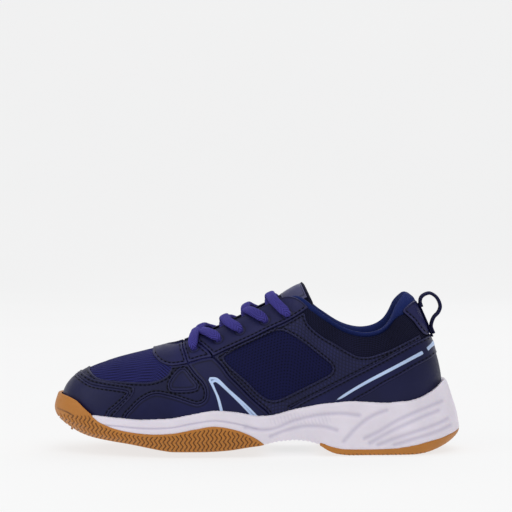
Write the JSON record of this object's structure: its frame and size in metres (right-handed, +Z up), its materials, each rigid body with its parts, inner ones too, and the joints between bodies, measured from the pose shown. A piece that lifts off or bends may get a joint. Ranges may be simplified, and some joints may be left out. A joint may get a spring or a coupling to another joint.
{
  "type": "court shoe",
  "caption": "Low-cut indoor court shoe with gum herringbone outsole, moulded foam midsole, knit upper with overlays, laced throat, padded collar and heel pull tab.",
  "frame": {"origin": "centre of the shoe bounding box in plan, on the ground plane under the outsole", "axes": "+Z up, +X from toe to heel along the shoe length, -Y to the lateral (outer) side of this left shoe, +Y to the medial side"},
  "size_m": [0.3, 0.1058, 0.1236],
  "materials": {
    "knit": "dark navy engineered knit",
    "collar_knit": "near-black navy ribbed knit",
    "lining": "blue brushed textile lining",
    "film": "satin navy synthetic leather and welded film",
    "stripe": "pale blue printed film",
    "foam": "open-cell padding foam",
    "board": "fibre board",
    "midsole": "moulded EVA foam, satin skin",
    "gum": "natural gum rubber, herringbone tread",
    "shank": "moulded nylon",
    "webbing": "woven webbing",
    "lace": "flat woven lace, indigo",
    "aglet": "clear-coated tip",
    "patch": "grey-navy moulded film patch"
  },
  "bodies": {
    "shoe": {"outsole_forefoot": "gum", "outsole_heel": "gum", "midsole": "midsole", "shank_plate": "shank", "strobel_board": "board", "vamp_lining": "lining", "quarter_lining": "lining", "heel_stiffener": "board", "collar_foam": "foam", "toe_puff": "board", "vamp_mesh": "knit", "window_mesh_lateral": "knit", "window_mesh_medial": "knit", "collar_mesh_lateral": "collar_knit", "collar_mesh_medial": "collar_knit", "vamp_tab": "film", "mudguard": "film", "eyestay_front_lateral": "film", "eyestay_front_medial": "film", "eyestay_lateral": "film", "eyestay_medial": "film", "side_panel_lateral": "film", "side_panel_medial": "film", "quarter_frame_lateral": "film", "quarter_frame_medial": "film", "heel_counter": "film", "toe_rim": "film", "toe_cap": "film", "heel_strap": "film", "heel_tab": "film", "heel_stripe": "stripe", "side_stripe_lateral": "stripe", "side_stripe_medial": "stripe", "tongue_face": "knit", "tongue_foam": "foam", "tongue_lining": "lining", "lace": "lace", "lace_tail_lateral": "lace", "lace_tail_medial": "lace", "aglet_lateral": "aglet", "aglet_medial": "aglet", "pull_tab_anchor": "webbing"},
    "tongue_top": {"tongue_top_face": "knit", "tongue_top_foam": "foam", "tongue_top_lining": "lining", "tongue_top_patch": "patch"},
    "sockliner": {"sockliner": "lining"},
    "pull_tab": {"pull_tab": "webbing"}
  },
  "joints": [
    {"name": "tongue_top_flex", "type": "hinge", "parent": "shoe", "child": "tongue_top", "pos_m": [0.01638, 0.0015, 0.10903], "axis": [0, -1, 0], "range_deg": [0, 30], "stiffness_Nm_per_rad": 0.02},
    {"name": "pull_tab_flex", "type": "hinge", "parent": "shoe", "child": "pull_tab", "pos_m": [0.1285, 0.0035, 0.0985], "axis": [0, 1, 0], "range_deg": [0, 20], "stiffness_Nm_per_rad": 0.01},
    {"name": "sockliner_lift", "type": "hinge", "parent": "shoe", "child": "sockliner", "pos_m": [-0.1335, 0.0035, 0.0345], "axis": [0, -1, 0], "range_deg": [0, 3]}
  ]
}
